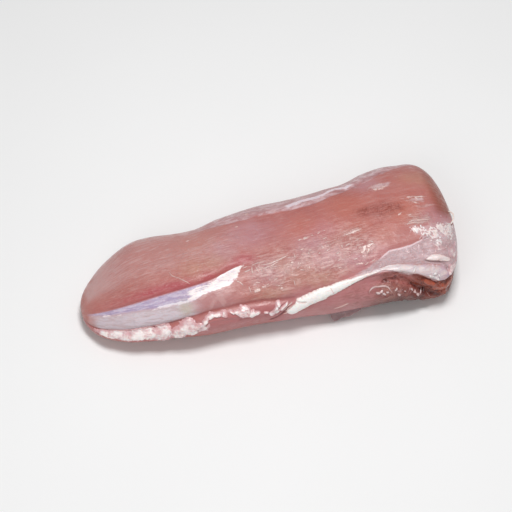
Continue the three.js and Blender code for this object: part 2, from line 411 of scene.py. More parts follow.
def fine_relief(area, place):
    """Relief in millimetres too fine for the solid: noise, coarser on the near side, low
    fibres along the meat, the torn hollow and the steps of the silverskin."""
    x, past = area.x, area.past
    n1, n2, n3 = textures(place)
    coarse = coarse_field(area)
    fine = 0.22 * n1 + (0.06 + 0.09 * coarse) * n2 + (0.02 + 0.06 * coarse) * n3
    below_cut = smooth(past(cut), 0, 2) * smooth(-x, -104, -98) * smooth(x, 56, 66)
    raw = np.maximum(torn_field(area, n2), below_cut)
    raw = np.maximum(raw, 0.6 * smooth(past(fold_low), -0.4, 1.2) * smooth(x, 78, 88))
    fine = fine + raw * (0.55 * n2 + 0.55 * n3) - 1.1 * cut_field(area, n2)
    far_step = smooth(-past(band), -0.4, 0.6) * between(x, -20, 100, 20)
    fine = fine + 0.15 * far_step - 0.3 * dip(past(band) - 0.7, 0.7) * between(x, -10, 90, 10)
    fine = fine - 0.9 * dip(past(head_crack), 0.8) * between(x, 86, 104, 2)
    fine = fine - 0.8 * dip(past(wedge), 1.2) * between(x, -10, 5, 3)
    softer = 0.6 * dip(past(crease) - 1.2, 2.2) - 0.55 * lip(past(crease), 7)
    fine = fine + softer * between(x, 55, 139, 22)
    fine = fine + 0.8 * dip(past(groove) - 0.3, 1.9) * between(x, -60, 10, 14)
    membrane = smooth(past(membrane_top), 0, 2) * smooth(-past(fold_low), -1, 1) * smooth(x, 78, 96)
    fine = fine + membrane * (0.25 * n2 + 0.18 * n3)
    fine = fine - 0.5 * dip(past(split), 0.8) * between(x, 94, 105, 2)
    return fine * smooth(area.share, 0.0, 0.35)


def meat_fields(area, place):
    """The masks of the muscle's finish as functions of x and angle: smooth steps of the
    distance to each seam, bells round each small place, and noise on them."""
    x, deg, past = area.x, area.deg, area.past
    n1, n2, n3 = textures(place)
    to_groove, to_crease = past(groove) + 0.4 * n2, past(crease)
    # the white silverskin at the thin end with pale streaks below it, partly its own white and partly a
    # painted highlight
    white = smooth(past(glare_top) + 0.7 * n2 + 0.4 * n3, -1.4, 1.4)
    white = white * smooth(-past(glare_low) + 0.5 * n2 + 0.4 * n3, -0.9, 0.9)
    right_end = -18.9 - 0.37 * (deg - 119) + 1.4 * n3 + 1.2 * n2
    white = white * smooth(right_end - x, -1.0, 1.6) * smooth(to_crease, -0.4, 0.4)
    streaks = 0.62 * smooth(to_crease - 1.0, -0.5, 1.0) * smooth(-past(glare_low), -0.5, 1.5)
    white = np.maximum(white, streaks * between(x, -58, -32, 7))

    below = smooth(to_crease, -0.3, 1.0) * smooth(-to_groove, -0.2, 1.5)
    upper = smooth(-past(glare_low) + 0.5 * n2, -0.8, 1.2)
    lilac = below * upper * smooth(-x + 3 * n1, 34, 48)
    pale = below * (1 - upper) * smooth(-x + 0.4 * past(150) + 3 * n1, 44, 58)
    pink = below * smooth(-x + 5 * n1, 14, 38) * (1 - lilac) * (1 - pale)
    to_membrane, to_fold = past(membrane_top), past(fold_low)
    membrane = smooth(to_membrane + 0.3 * n2, -0.3, 0.6) * smooth(-to_fold, -1.0, 0.2)
    membrane = membrane * smooth(x, 43, 50)
    seen = warped(area, place, 1.3, 3.4)
    cap = smooth(area.share + 0.10 * n1 + 0.06 * n2, 0.42, 0.66)
    near_side = smooth(-deg + 8 * n1, -246, -214)
    far_band = smooth(-past(far_low) + 0.8 * n2, -0.8, 1.0)
    far_band = far_band * smooth(deg + 12 * n1 + 4 * n2, -12, 16)
    far_band = far_band * smooth(x + 0.5 * past(40) + 9 * n1, -66, -8) * smooth(-x, -112, -92)
    core_reach = between(x, 12, 62, 8) + 0.35 * between(x, 56, 92, 8)
    core = dip(past(far_core) + 0.5 * n2, 1.7) * core_reach
    # a brown line beside the far silverskin's bright streak, and painted shade along the silverskin's
    # edge on the top
    brown_line_and_edge_shade = dip(past(far_core) - 2.9 + 0.4 * n2, 0.8) * between(x, 40, 100, 10)
    brown_line_and_edge_shade = np.maximum(brown_line_and_edge_shade, 0.7 * dip(past(far_low) + 0.6 * n2, 1.0) * between(x, 14, 66, 10))

    red_edge = dip(to_crease + 2.6, 3.4) * smooth(-x, 6, 17) * smooth(x, -120, -60)
    chain = smooth(to_groove, 0.5, 2.5) * smooth(-deg, -188, -178) * between(x, -142, 6, 10)
    lines = [
        dip(past(wedge), 1.3) * between(x, -10, 5, 3),
        0.9 * dip(past(split), 0.8) * between(x, 94, 105, 2),
        dip(past(head_crack), 1.0) * between(x, 95, 103, 1.5),
        0.5 * dip(past(head_crack), 0.6) * between(x, 87, 97, 1),
        greatest(area, ((88.4, 150.4, 1.6, 0.8), (100.8, 155.8, 1.6, 1.0), (106.4, 154, 1.8, 0.7))),
    ]
    spots = (
        0.9 * blot(seen, 62, 162.9, 3.0, 1.0), 0.8 * blot(seen, 68, 160.7, 2.2, 1.2),
        0.8 * blot(seen, 73, 162.4, 1.8, 1.1), 0.7 * blot(seen, 84, 169.4, 2.2, 0.8, 40),
        blot(seen, 86, 178.6, 3.4, 1.5, 38), blot(seen, 94.5, 187, 3.2, 1.2, 38),
    )
    past_cut = smooth(past(cut), -0.3, 1.5) * smooth(-x, -92, -85) * smooth(x, 50, 62)
    orange = smooth(x + 0.6 * past(165), 74, 84) * smooth(to_fold, -0.6, 0.8)
    orange = orange * (1 - past_cut) * near_side * cap
    rim = dip(past(189.5) + 0.5 * n2, 1.0) * between(x, -14, 30, 5)
    # painted highlight: a pale rim along the far top outline of the thin half and round the thick end,
    # where light glances off at a grazing angle
    painted_rim_highlight = dip(past(18.5) + 1.6 * n1, 2.2) * smooth(-x, -70, -50) * smooth(n2 + 0.6 * n1, -0.7, 0.5)
    painted_head_rim = 0.4 * dip(area.share - 0.56, 0.05) * between(deg, 20, 120, 20)
    painted_rim_highlight = np.maximum(painted_rim_highlight, painted_head_rim * smooth(x, 100, 110))
    # painted shade: the rounded thick end and the far top beside it darker, where the surface turns
    # from the light
    end = smooth(x, 98, 106) * np.maximum(smooth(-deg, -112, -92) * smooth(deg, 0, 30), 1 - cap)
    lilac, pale, far_band, membrane = (field * cap for field in (lilac, pale, far_band, membrane))
    return dict(
        white=white, lilac=lilac, pale=pale, pink=pink, membrane=membrane, far_band=far_band,
        core=core, brown_line_and_edge_shade=brown_line_and_edge_shade, crimson=red_edge, chain=chain, orange=orange, end=end, painted_rim_highlight=painted_rim_highlight,
        rim=np.maximum(0.7 * rim, 0.4 * dip(past(low_rim), 0.9) * between(x, 62, 105, 8)),
        seam=dip(to_groove, 1.5) * between(x, -142, 12, 8), blood=np.maximum.reduce(lines),
        torn=torn_field(area, n2), deep=np.maximum.reduce([cut_field(area, n2), *spots]),
        tissue=past_cut * near_side,
        # painted shade: the near flank darker, and darker still low on the near side, towards the thick
        # end
        low=smooth(deg, 170, 184) * smooth(x, 40, 66) * near_side * cap,
        flank=smooth(deg, 156, 166) * smooth(x, 24, 44) * near_side * cap,
        left=smooth(-x, 8, 44) * smooth(-deg, -108, -76) * cap, coarse=coarse_field(area),
        green=blot(area, -56, 149, 3.4, 3.6),
        edge=dip(past(glare_low) + 0.4 + 0.5 * n3, 0.8) * between(x, -74, -47, 4),
        near_rim=dip(to_membrane - 0.4, 0.6) * between(x, 56, 114, 8),
        **{name: greatest(seen, places) for name, places in AREAS.items()},
    )


# Meshes
def closed_grid(rows, columns):
    """Triangles and quads of a tube of rows of points, each row joined end to end, with one
    more point at each end of the tube: the first point, then the rows, then the last."""
    j = np.arange(columns)
    k = (j + 1) % columns
    base = 1 + columns * np.arange(rows - 1)[:, None]
    quads = np.stack([base + j, base + k, base + columns + k, base + columns + j], -1)
    end = 1 + columns * (rows - 1)
    tip = 1 + columns * rows
    first = np.stack([0 * j, 1 + k, 1 + j], -1)
    last = np.stack([tip + 0 * j, end + j, end + k], -1)
    return np.concatenate([first, last]), quads.reshape(-1, 4)


class Shape:
    """Points in millimetres, faces, and named values at the points."""

    def __init__(self, rows, tips, **fields):
        """rows is an array of rows of points, and tips the two points that close it."""
        self.points = np.concatenate([[tips[0]], rows.reshape(-1, 3), [tips[1]]])
        self.triangles, self.quads = closed_grid(*rows.shape[:2])
        self.fields = {}
        for name, values in fields.items():
            flat = np.broadcast_to(values, rows.shape[:2] + values.shape[2:])
            flat = flat.reshape((-1,) + values.shape[2:])
            self.fields[name] = np.concatenate([flat[:1], flat, flat[-1:]])

    @staticmethod
    def joined(shapes):
        """One shape of several, whose fields have the same names."""
        whole = object.__new__(Shape)
        starts = np.cumsum([0] + [len(shape.points) for shape in shapes])
        whole.points = np.concatenate([shape.points for shape in shapes])
        whole.triangles = np.concatenate([s.triangles + n for s, n in zip(shapes, starts)])
        whole.quads = np.concatenate([s.quads + n for s, n in zip(shapes, starts)])
        names = shapes[0].fields
        whole.fields = {name: np.concatenate([s.fields[name] for s in shapes]) for name in names}
        return whole

    def piece(self, name, material, slot="meat"):
        """A piece of the object, riding on its one body."""
        mesh = bpy.data.meshes.new(name)
        faces = self.triangles.tolist() + self.quads.tolist()
        mesh.from_pydata((self.points * MM).tolist(), [], faces)
        mesh.polygons.foreach_set("use_smooth", np.ones(len(mesh.polygons), bool))
        mesh.materials.append(material)
        for key, values in self.fields.items():
            kind, slot_name = ("FLOAT_VECTOR", "vector") if values.ndim == 2 else ("FLOAT", "value")
            field = mesh.attributes.new(key, kind, "POINT")
            field.data.foreach_set(slot_name, values.astype(np.float32).ravel())
        piece = bpy.data.objects.new(name, mesh)
        bpy.context.scene.collection.objects.link(piece)
        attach(piece, "root")
        return piece


def laid(knots, height, taper=8.0, steps=40, columns=12, sink=0.6, uneven=0.0, tint=0.0):
    """A low swelling along a curve on the meat, through knots of x, angle and half width. Its
    parameters are t along the curve and an angle round the section: across it is the width
    times the cosine, above the meat the height times the sine, and below it a shallow belly
    sunk into the meat. Both shrink to 0 at the ends as (1 - |2t - 1|^taper)^(1/2). The
    unevenness makes its outline wander and its top lumpy."""
    x, deg, wide = (np.array(row, float) for row in zip(*knots))
    steps_mm = np.hypot(np.diff(x), np.radians(np.diff(deg)) * Section(x, deg).oval[1:])
    run = np.concatenate([[0], np.cumsum(steps_mm)])
    t = (1 - np.cos(np.linspace(0, np.pi, steps)))[1:-1, None] / 2
    cx, cdeg, width = (through(run, row)(t * run[-1]) for row in (x, deg, wide))
    shrink = np.sqrt(1 - np.abs(2 * t - 1) ** taper)
    oval = Section(cx, cdeg).oval
    dx, dy = np.gradient(cx, axis=0), np.radians(np.gradient(cdeg, axis=0)) * oval
    size = np.hypot(dx, dy)
    angle = -np.linspace(0, 2 * np.pi, columns, endpoint=False)
    q = width * shrink * np.cos(angle)
    plain = Section(cx - q * dy / size, cdeg + np.degrees(q * dx / size / oval))
    wander = 0.9 * uneven * min(1.0, wide.max() / 1.4)
    area = warped(plain, plain.points(), wander, 2.1 + wide.max() / 3)
    rise, place = np.sin(angle), area.points()
    lumps = 1 + uneven * (0.8 * noise(place / 2.1, 11) + 0.5 * noise(place / 0.9, 14))
    tall = height * np.sqrt(width / wide.max()) * np.maximum(lumps, 0.15)
    lift = shrink * rise * np.where(rise > 0, tall, sink)
    rows = area.points(fine_relief(area, place) + lift)
    tips = rows[0].mean(axis=0), rows[-1].mean(axis=0)
    crest = np.maximum(rise, 0) * shrink
    stain = np.full(crest.shape, float(tint))
    return Shape(rows, tips, crest=crest, grain=grain_of(area.x, area), tint=stain)


def lobe(x, deg, length, width, tilt, height, **more):
    """A laid swelling on an oval of the given half sizes, turned by the tilt in degrees."""
    c, s = math.cos(math.radians(tilt)), math.sin(math.radians(tilt))
    turn = math.degrees(s * length / float(Section(x, deg).oval))
    knots = [(x + way * c * length, deg + way * turn, width) for way in (-1, 0, 1)]
    return laid(knots, height, taper=2.0, **more)


def patch(x, first, last, columns, rise):
    """A thin sheet over the meat, closed below. Its parameters are x and the share across from
    the angle first to last: rise(area, place, across) gives its height in millimetres, hidden
    under the meat where that is negative, and how far it is a crest and how stained. Its
    underside lies deep enough in the meat to be hidden."""
    across = np.linspace(0, 1, columns)
    deg = first[:, None] + (last - first)[:, None] * across
    area = Section(x[:, None], deg)
    place = area.points()
    height, crest, tint = rise(area, place, across)
    under = Section(x[:, None], deg[:, ::-5])
    upper = area.points(fine_relief(area, place) + height)
    rows = np.concatenate([upper, under.points(-PATCH_DEPTH)], axis=1)
    grain = np.concatenate([grain_of(side.x, side) for side in (area, under)], axis=1)
    blank = np.zeros(under.x.shape)
    fields = [np.concatenate([np.broadcast_to(v, deg.shape), blank], axis=1) for v in (crest, tint)]
    tips = rows[0].mean(axis=0), rows[-1].mean(axis=0)
    return Shape(rows, tips, crest=fields[0], tint=fields[1], grain=grain)


def grown(level, height, place, lumps, size):
    """What a patch's rise returns for a level that is above 0 inside its ragged outline: a
    steep rounded edge and a lumpy top inside it, and a hidden slope outside."""
    up = np.clip(level, 0, 1)
    top = 0.04 + height * up**0.6 * (1 + lumps * noise(place / (1.4 * size), 33))
    return np.where(level < 0, np.maximum(0.8 * level, -0.6), top), up


def growth(places, height, ragged, size=1.0, lumps=0.3, tint=0.0):
    """The rise of a patch made of soft ellipses, each of x, angle, half sizes and tilt, whose
    outline wanders and is eaten into by noise."""
    def rise(area, place, across):
        seen = warped(area, place, 0.6 * size, 2.6 * size)
        rough = 0.6 * noise(place / (0.9 * size), 31) + 0.5 * noise(place / (2.3 * size), 32)
        rough = rough + 0.35 * noise(place / 0.55, 37)
        level = 2.2 * (greatest(seen, places) - 0.5) + ragged * rough
        return *grown(level, height, place, lumps, size), tint + 0.5 * noise(place / 3.1, 34)

    return rise


def net(places, height, size, fill, tint=0.0):
    """The rise of a patch that is a torn net of strands inside soft ellipses: the strands run
    where a smooth noise passes 0, and close up more as the fill grows."""
    def rise(area, place, across):
        seen = warped(area, place, 0.8 * size, 1.5 * size)
        strands = 1 - 3.2 * np.abs(noise(seen.points() / size, 41))
        level = 2.0 * (greatest(seen, places) - 0.5) + strands + fill - 1.4
        return *grown(level, height, place, 0.4, 0.8 * size), tint + 0.5 * noise(place / 2.3, 34)

    return rise


def field_of(places, rise, step=0.3, margin=1.6):
    """A patch just large enough for soft ellipses, on a grid of the given step."""
    spots = np.array([(x, deg, np.hypot(*size[:2]) * margin) for x, deg, *size in places])
    stop = min((spots[:, 0] + spots[:, 2]).max(), LAST_X)
    x = np.arange((spots[:, 0] - spots[:, 2]).min(), stop, step)
    oval = Section(spots[:, 0], spots[:, 1]).oval
    reach = np.degrees(spots[:, 2] / oval)
    first, last = (spots[:, 1] - reach).min(), (spots[:, 1] + reach).max()
    columns = int(math.radians(last - first) * oval.mean() / step)
    return patch(x, first + 0 * x, last + 0 * x, columns, rise)


def ribbon(top, low, start, stop, height, step=0.3, columns=34, ramp=3.0, uneven=0.1, **marks):
    """A patch between two edge curves with a rounded section, whose ends sink away and whose
    edges are bitten into by noise. The marks may give a dark crack and a tint as functions of
    the area, and how much its lower side is shaded."""
    def rise(area, place, across):
        bites = 0.6 * np.abs(noise(place / 2.2, 38)) + 0.5 * np.abs(noise(place / 0.9, 39))
        v = np.abs(2 * across - 1) + uneven * bites
        ends = smooth(np.minimum(area.x - start, stop - area.x), 0, ramp)
        body = np.sqrt(np.maximum(1 - v**5, 0) * np.sqrt(ends))
        tall = height(area.x) if callable(height) else height
        lumps = uneven * (noise(place / 3.2, 35) + 0.5 * noise(place / 1.3, 36))
        crack = marks["crack"](area) if "crack" in marks else 0
        rises = -0.5 + (tall + 0.5) * body + lumps * body - 0.6 * crack
        crest = np.clip(1.2 * body - 0.3 - marks.get("shade", 0) * across**4, 0, 1) * (1 - crack)
        return rises, crest, marks["tint"](area) + 1.2 * crack if "tint" in marks else 1.5 * crack

    x = np.arange(start, stop, step)
    margin = np.minimum(0.8, 0.12 * (low(x) - top(x)))
    return patch(x, top(x) - margin, low(x) + margin, columns, rise)


# Materials
def srgb(red, green, blue):
    """A colour told in 0 to 255 as the linear values that shaders take."""
    def linear(v):
        v /= 255
        return v / 12.92 if v <= 0.04045 else ((v + 0.055) / 1.055) ** 2.4

    return (linear(red), linear(green), linear(blue), 1.0)


def opaque(colour):
    """A colour setting with its alpha, as shader sockets take it."""
    return tuple(colour) + (1,)


class Num:
    """A number socket of a finish; arithmetic on it adds Math nodes."""

    def __init__(self, finish, socket):
        self.finish, self.socket = finish, socket

    def __add__(self, other):
        return self.finish.math("ADD", self, other)

    def __mul__(self, other):
        return self.finish.math("MULTIPLY", self, other)

    def __sub__(self, other):
        return self.finish.math("SUBTRACT", self, other)

    def __rsub__(self, other):
        return self.finish.math("SUBTRACT", other, self)

    __radd__, __rmul__ = __add__, __mul__

    def __abs__(self):
        return self.finish.math("ABSOLUTE", self)

    def high(self, other):
        return self.finish.math("MAXIMUM", self, other)

    def step(self, low, high):
        """0 below low, 1 above high, S-shaped between."""
        sockets = {"Value": self, "From Min": low, "From Max": high}
        node = self.finish.node("ShaderNodeMapRange", {"interpolation_type": "SMOOTHSTEP"}, sockets)
        return Num(self.finish, node.outputs[0])


class Finish:
    """A procedural material, made node by node."""

    def __init__(self, name):
        self.material = bpy.data.materials.new(name)
        self.material.use_nodes = True
        self.tree = self.material.node_tree
        self.tree.nodes.clear()

    def node(self, kind, settings=(), sockets=()):
        made = self.tree.nodes.new(kind)
        for key, value in dict(settings).items():
            setattr(made, key, value)
        for key, value in dict(sockets).items():
            socket = value.socket if isinstance(value, Num) else value
            if isinstance(socket, bpy.types.NodeSocket):
                self.tree.links.new(socket, made.inputs[key])
            else:
                made.inputs[key].default_value = socket
        return made

    def math(self, operation, *values):
        node = self.node("ShaderNodeMath", {"operation": operation}, dict(enumerate(values)))
        return Num(self, node.outputs[0])

    def field(self, name):
        return Num(self, self.node("ShaderNodeAttribute", {"attribute_name": name}).outputs["Fac"])

    def vector_field(self, name):
        return self.node("ShaderNodeAttribute", {"attribute_name": name}).outputs["Vector"]

    def place(self):
        return self.node("ShaderNodeTexCoord").outputs["Object"]

    def scaled(self, vector, factors):
        settings, sockets = {"operation": "MULTIPLY"}, {0: vector, 1: factors}
        return self.node("ShaderNodeVectorMath", settings, sockets).outputs[0]

    def noise(self, vector, scale=1.0, detail=2.0, rough=0.5, warp=0.0):
        sockets = {"Vector": vector, "Scale": scale, "Detail": detail, "Roughness": rough}
        sockets["Distortion"] = warp
        return Num(self, self.node("ShaderNodeTexNoise", (), sockets).outputs["Fac"])

    def lines(self, vector, factors, width, warp=0.6):
        """Thin wandering lines, where a stretched noise passes its middle value."""
        wave = self.noise(self.scaled(vector, factors), 1, 1.5, 0.5, warp)
        return 1 - abs(wave - 0.5).step(0.0, width)

    def mix(self, first, second, share):
        made = self.node("ShaderNodeMix", {"data_type": "RGBA"}, {0: share, 6: first, 7: second})
        return made.outputs[2]

    def layered(self, colour, *layers):
        """The colour with the colour of each layer mixed in by its share, the lowest first."""
        for paint, share in layers:
            colour = self.mix(colour, paint, share)
        return colour

    def bump(self, height, distance, strength=1.0):
        sockets = {"Height": height, "Distance": distance, "Strength": strength}
        return self.node("ShaderNodeBump", (), sockets).outputs["Normal"]

    def close(self, **sockets):
        """Adds the shader, with sockets named by words joined with underscores."""
        named = {key.replace("_", " "): value for key, value in sockets.items()}
        shader = self.node("ShaderNodeBsdfPrincipled", (), named)
        self.node("ShaderNodeOutputMaterial", (), {"Surface": shader.outputs[0]})
        return self.material


def muscle_finish(look, fields):
    """Wet raw muscle with silverskin, film and blood where the fields of the mesh say."""
    f = Finish("raw_pork_muscle")
    grain, place = f.vector_field("grain"), f.place()
    m = {name: f.field(name) for name in fields}
    bundles = f.noise(f.scaled(grain, (0.030, 0.24, 0.24)), 1, 3, 0.55, 0.6)
    fibres = f.noise(f.scaled(grain, (0.09, 1.3, 1.3)), 1, 3, 0.62, 0.5)
    streaks = f.noise(f.scaled(grain, (0.16, 0.75, 0.75)), 1, 3, 0.6, 0.8)
    mottle = f.noise(place, 48, 3, 0.6)
    veil = f.noise(place, 26, 3, 0.55, 0.4)
    clouds = f.noise(place, 120, 4, 0.65, 0.8)
    fleck = f.noise(place, 480, 3, 0.65)
    grit = f.noise(place, 950, 2, 0.6)
    hue = f.noise(place, 15, 2, 0.5)
    long_lines = f.lines(grain, (0.10, 0.75, 0.75), 0.06)
    cross_lines = f.lines(grain, (0.75, 0.22, 0.22), 0.06)
    veins = f.lines(grain, (0.20, 0.30, 0.30), 0.035, 1.4)
    ragged = (fleck - 0.5) * 0.8 + (clouds - 0.5) * 0.8 + (streaks - 0.5) * 1.1 + (grit - 0.5) * 0.5

    def torn(field, amount, low, high):
        """The field with its outline broken up by noise, only where the field is."""
        return (field + ragged * amount * field).step(low, high)

    # the flesh
    tone = bundles.step(0.36, 0.64) * 0.2 + mottle.step(0.38, 0.62) * 0.5
    tone = tone + clouds.step(0.42, 0.60) * 0.3
    deep_lines = fibres.step(0.48, 0.70) * (0.16 + 0.14 * m["coarse"])
    deep_lines = deep_lines + (1 - fleck).step(0.50, 0.60) * m["coarse"] * 0.18
    hatch = long_lines.high(cross_lines).high(fibres.step(0.5, 0.62) * 0.6)
    paler = (veil * 0.5 + streaks * 0.5).step(0.44, 0.60)
    tuft = f.noise(f.scaled(grain, (0.17, 0.62, 0.62)), 1, 4, 0.7, 0.9)
    fuzz_and_glints = tuft.step(0.47, 0.60)
    tissue = f.layered(
        srgb(142, 78, 68),
        (srgb(174, 122, 112), clouds.step(0.4, 0.6)),
        (srgb(124, 58, 56), fleck.step(0.5, 0.60) * 0.85),
    )
    colour = f.layered(
        opaque(look.muscle_dark),
        (opaque(look.muscle_light), tone),
        (srgb(190, 124, 132), hue.step(0.50, 0.62) * 0.5),
        (srgb(188, 112, 98), (1 - hue).step(0.50, 0.64) * 0.35 + m["rust"] * (0.40 + 0.6 * veil)),
        (opaque(look.muscle_deep), deep_lines),
        (srgb(216, 168, 160), streaks.step(0.52, 0.68) * (0.16 + 0.2 * m["coarse"])),
        (srgb(134, 58, 46), m["dark"] * (0.22 + hatch * 0.7)),
        (srgb(200, 160, 158), paler * (0.16 + 0.34 * m["left"]) + m["left"] * 0.38),
        (srgb(174, 66, 78), m["crimson"] * (0.50 + 0.7 * clouds)),
        (srgb(180, 108, 112), m["chain"] * (0.30 + 0.6 * clouds)),
        (srgb(190, 148, 158), m["ash"] * (0.1 + 0.7 * clouds)),
        (srgb(190, 141, 120), m["beige"] * (0.1 + 0.8 * clouds)),
        (srgb(162, 92, 90), (1 - tuft).step(0.50, 0.60) * m["wisps_and_glints"] * 0.30),
        # pale fuzz, partly a painted highlight standing for wet glints on the near top
        (srgb(222, 182, 176), fuzz_and_glints * (m["coarse"] * 0.26 + m["wisps_and_glints"] * (0.14 + 0.6 * clouds))),
        # painted shade at the thick end, with the fibres showing through it
        (srgb(150, 78, 58), m["end"] * (0.45 + fibres.step(0.36, 0.56) * 0.5)),
        # painted shade on the near flank
        (srgb(150, 90, 82), m["flank"] * (1 - tuft).step(0.46, 0.60) * 0.5),
        (srgb(156, 78, 78), torn(m["seam"], 0.9, 0.2, 0.9) * 0.55),
        (tissue, m["tissue"] * 0.9),
        # painted shade low on the near side
        (srgb(100, 42, 34), m["low"] * (0.60 + fibres * 0.6)),
        (srgb(162, 94, 84), m["torn"] * (0.62 + ragged * 1.6)),
        (srgb(136, 60, 42), m["orange"] * (0.90 + ragged * 0.7)),
        (srgb(200, 98, 72), torn(m["vivid"], 1.5, 0.2, 0.9) * 0.7),
        (srgb(92, 38, 38), torn(m["deep"], 2.4, 0.25, 0.95) * 0.8),
        (opaque(look.blood), torn(m["blood"], 1.2, 0.2, 0.95) * 0.9),
    )

    # silverskin, membrane and film over it
    weave = streaks * 0.6 + clouds * 0.4
    pinkish = f.mix(srgb(182, 132, 134), srgb(200, 160, 160), clouds.step(0.4, 0.6))
    band = f.layered(
        srgb(184, 140, 142),
        (srgb(208, 178, 182), weave.step(0.44, 0.58)),
        (srgb(236, 222, 230), torn(m["core"] * 1.3, 1.2, 0.3, 0.95)),
        # the brown line and the painted shade along the band's edge
        (srgb(146, 96, 96), torn(m["brown_line_and_edge_shade"], 1.2, 0.2, 0.9) * 0.55),
    )
    sheen = streaks.step(0.38, 0.62) * 0.8 + veins * 0.3
    lilac = f.mix(srgb(170, 154, 186), srgb(210, 198, 216), sheen)
    pale = f.mix(srgb(210, 198, 206), srgb(196, 176, 180), streaks.step(0.40, 0.66))
    sheet = f.layered(
        srgb(202, 174, 178),
        (srgb(190, 150, 152), weave.step(0.46, 0.62) * 0.8),
        (srgb(216, 198, 202), veins * 0.35),
    )
    # pale strokes of film, partly painted highlights standing for wet glints
    wisps_and_glints = long_lines.high(cross_lines * 0.8).high(streaks.step(0.58, 0.70) * 0.5)
    wisps_and_glints = wisps_and_glints * m["wisps_and_glints"] * clouds.step(0.42, 0.58)
    film = torn(m["film"], 3.0, 0.4, 1.1)
    bright = f.mix(srgb(224, 206, 216), opaque(look.fat), streaks.step(0.36, 0.56))
    colour = f.layered(
        colour,
        (pinkish, m["pink"] * (0.5 + 0.4 * veil)),
        (band, torn(m["far_band"], 0.7, 0.1, 0.9) * 0.88),
        # painted highlight along the outline
        (srgb(224, 196, 198), m["painted_rim_highlight"] * 0.65),
        (lilac, m["lilac"] * 0.94),
        (pale, m["pale"] * 0.94),
        (srgb(186, 174, 152), m["green"] * (0.3 + clouds * 0.6)),
        # a bright line along the lower edge of the white silverskin, partly a painted highlight
        (srgb(240, 232, 238), torn(m["edge"], 0.9, 0.3, 0.8) * 0.8),
        (sheet, m["membrane"] * 0.95),
        (srgb(240, 214, 218), torn(m["near_rim"], 1.0, 0.3, 0.8) * 0.85),
        (srgb(200, 160, 154), torn(m["rim"], 1.0, 0.2, 0.8) * 0.3),
        (srgb(212, 172, 166), wisps_and_glints * 0.6),
        # smears of film, partly painted highlights
        (srgb(216, 180, 176), film * 0.45),
        (srgb(222, 196, 200), torn(m["haze"], 1.4, 0.15, 1.0) * 0.55),
        # the white silverskin, partly a painted highlight
        (bright, torn(m["white"] * 1.15, 1.3, 0.35, 0.85)),
    )

    wet = (clouds + (fleck - 0.5) * 0.7).step(0.42, 0.60)
    rough = 0.50 - wet * 0.17 - film * 0.12 - m["membrane"] * 0.08 - m["deep"] * 0.15 - m["torn"] * 0.10
    relief = bundles * 0.3 + clouds * 0.5 + fibres * (0.10 + 0.3 * m["coarse"]) + fleck * 0.2
    relief = relief + grit * (0.04 + 0.08 * m["coarse"]) + (wisps_and_glints + fuzz_and_glints * m["wisps_and_glints"]) * 0.12
    relief = relief + film * 0.2 + veins * 0.15 * m["membrane"] + m["tissue"] * fleck
    return f.close(
        Base_Color=colour, Roughness=rough, Normal=f.bump(relief, 0.0012, 0.8),
        Subsurface_Weight=0.12, Subsurface_Radius=(1.0, 0.36, 0.26), Subsurface_Scale=0.002,
        Specular_IOR_Level=0.7, Coat_Weight=0.14, Coat_Roughness=0.24, IOR=1.4,
    )


def fat_finish(name, edge, bright, stain):
    """Wet fat or tendon: the edge colour low down, the bright colour on the crests, and
    stained patches, more of them where the tint of the mesh is high."""
    f = Finish(name)
    place, grain = f.place(), f.vector_field("grain")
    crest, tint = f.field("crest"), f.field("tint")
    clouds = f.noise(place, 240, 3, 0.6, 0.6)
    fleck = f.noise(place, 700, 3, 0.6)
    fibres = f.noise(f.scaled(grain, (0.12, 1.2, 1.2)), 1, 2, 0.6, 0.4)
    stained = ((clouds + fibres) * 0.5 + tint * 0.14).step(0.50, 0.66)
    colour = f.layered(
        edge,
        # painted light and shade: the bright colour on the crests is partly a painted highlight, and
        # the edge colour on the sides and lower sides partly painted shade
        (bright, (crest + (clouds - 0.5) * 0.8 - tint * 0.4).step(0.10, 0.85)),
        (stain, stained * (0.30 + tint * 0.8)),
        (srgb(104, 70, 74), tint.step(0.9, 1.5) * 0.85),
    )
    rough = 0.42 - clouds.step(0.45, 0.65) * 0.16
    relief = clouds * 0.8 + fleck * 0.3 + fibres * 0.5
    return f.close(
        Base_Color=colour, Roughness=rough, Normal=f.bump(relief, 0.0008, 0.7),
        Subsurface_Weight=0.25, Subsurface_Radius=(1.0, 0.6, 0.5), Subsurface_Scale=0.0015,
        Specular_IOR_Level=0.7, Coat_Weight=0.2, Coat_Roughness=0.16, IOR=1.45,
    )


# Soft ellipses of what lies on the meat: x, angle, half length, half width, tilt in degrees
# the fat along the chain muscle
CHAIN_FAT = (
    (-103, 175.5, 6.5, 2.4, 5), (-95, 173, 7, 3.4, 5), (-86.5, 171.4, 7, 4.4, 5),
    (-79, 171.6, 5, 4.6), (-71.2, 172.4, 5.6, 5.6), (-62.4, 176, 5.0, 5.4),
    (-58, 170.6, 5.0, 4.8, -20), (-55.2, 164.6, 3.2, 3.2, -20), (-54.4, 172.6, 3.2, 3.4),
    (-49.6, 169, 5.0, 3.3),
    (-45.6, 162.4, 2.8, 1.6, -40), (-42.4, 160.4, 3.0, 1.5, -20), (-38.6, 159.6, 3.2, 1.4),
    (-34.8, 160, 2.2, 1.6, 20), (-30.2, 160.9, 2.0, 1.0, 20), (-27, 161.4, 2.2, 1.3, 10),
    (-23.4, 162.8, 3.9, 2.6, 10), (-18.4, 165.6, 3.0, 2.2, -30), (-15.6, 164.4, 2.4, 1.3),
    (-10.6, 166.6, 2.0, 0.9, 10), (-7, 169, 1.8, 1.7), (-5, 165.6, 2.6, 1.2, -45),
    (-3, 162.6, 2.2, 0.9, -50), (-1.4, 165.8, 2.4, 1.0, -45), (1, 163.8, 2.4, 0.9, -30),
    (-4.4, 168.4, 2.2, 1.2, -30),
)
